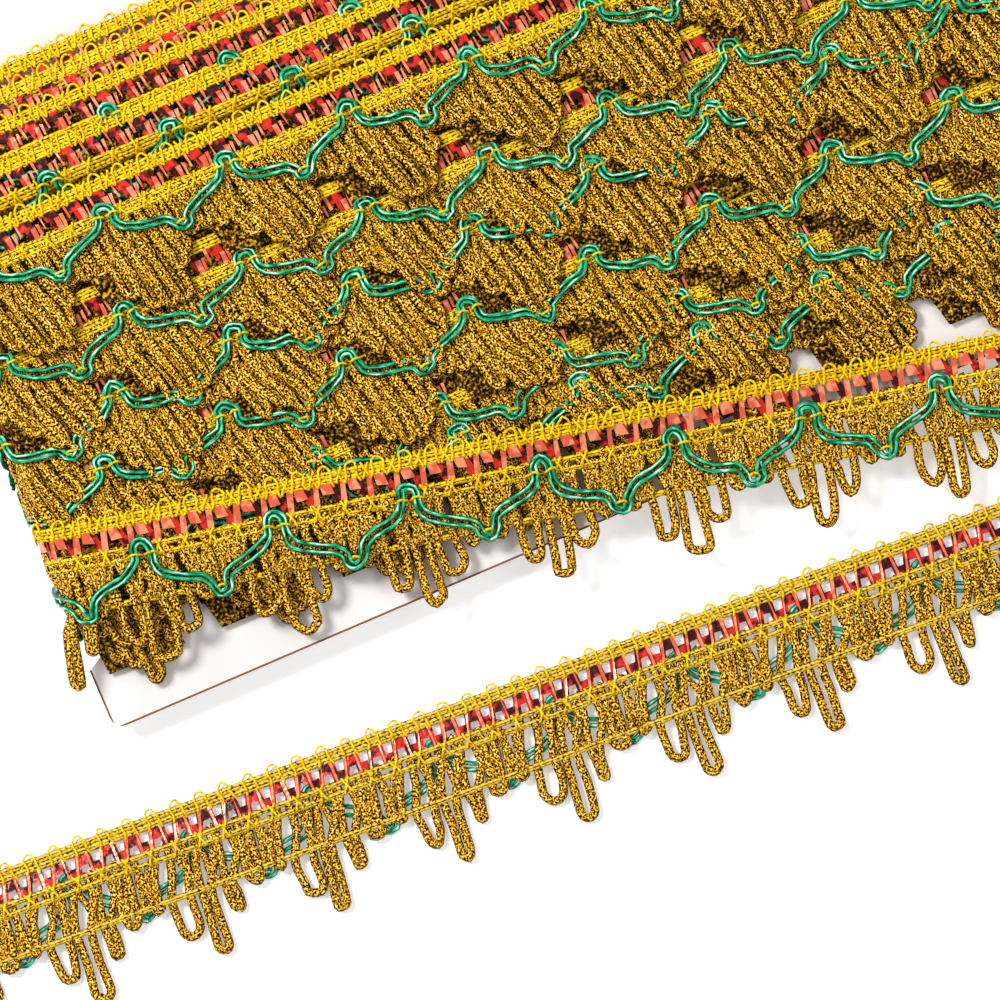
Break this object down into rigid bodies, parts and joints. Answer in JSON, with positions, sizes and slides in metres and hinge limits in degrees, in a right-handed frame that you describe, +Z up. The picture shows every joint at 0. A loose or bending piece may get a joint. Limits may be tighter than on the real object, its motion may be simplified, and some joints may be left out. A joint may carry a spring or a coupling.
{
  "type": "leaf lace trim wound on a card",
  "caption": "Metallic leaf loop lace trim wound in shingled turns on a notched flat card, with the last turn across the front and a loose end lying before it.",
  "frame": {"origin": "under the middle of the whole footprint, on the surface it lies on", "axes": "+X along the card's long side and the loose end, +Y from the loose end to the card's upper margin, +Z up out of the card's front"},
  "size_m": [0.3334, 0.23, 0.0174],
  "materials": {
    "card": "smooth matt white face, brown cut edge",
    "gold_cord": "metallic gold and brown speckled gimp cord",
    "yellow_yarn": "matt bright yellow yarn, crocheted",
    "red_foil": "glossy red metallic ribbon",
    "green_cord": "glossy satin rayon cord"
  },
  "bodies": {
    "root": {"card": "card", "wound_trim": "gold_cord", "last_turn_header": "yellow_yarn", "last_turn_foil": "red_foil", "last_turn_band": "yellow_yarn", "last_turn_lace": "gold_cord", "last_turn_chain": "yellow_yarn", "last_turn_green_cord": "green_cord", "loose_end_header": "yellow_yarn", "loose_end_foil": "red_foil", "loose_end_band": "yellow_yarn", "loose_end_lace": "gold_cord", "loose_end_chain": "yellow_yarn", "loose_end_green_cord": "green_cord"}
  },
  "joints": []
}
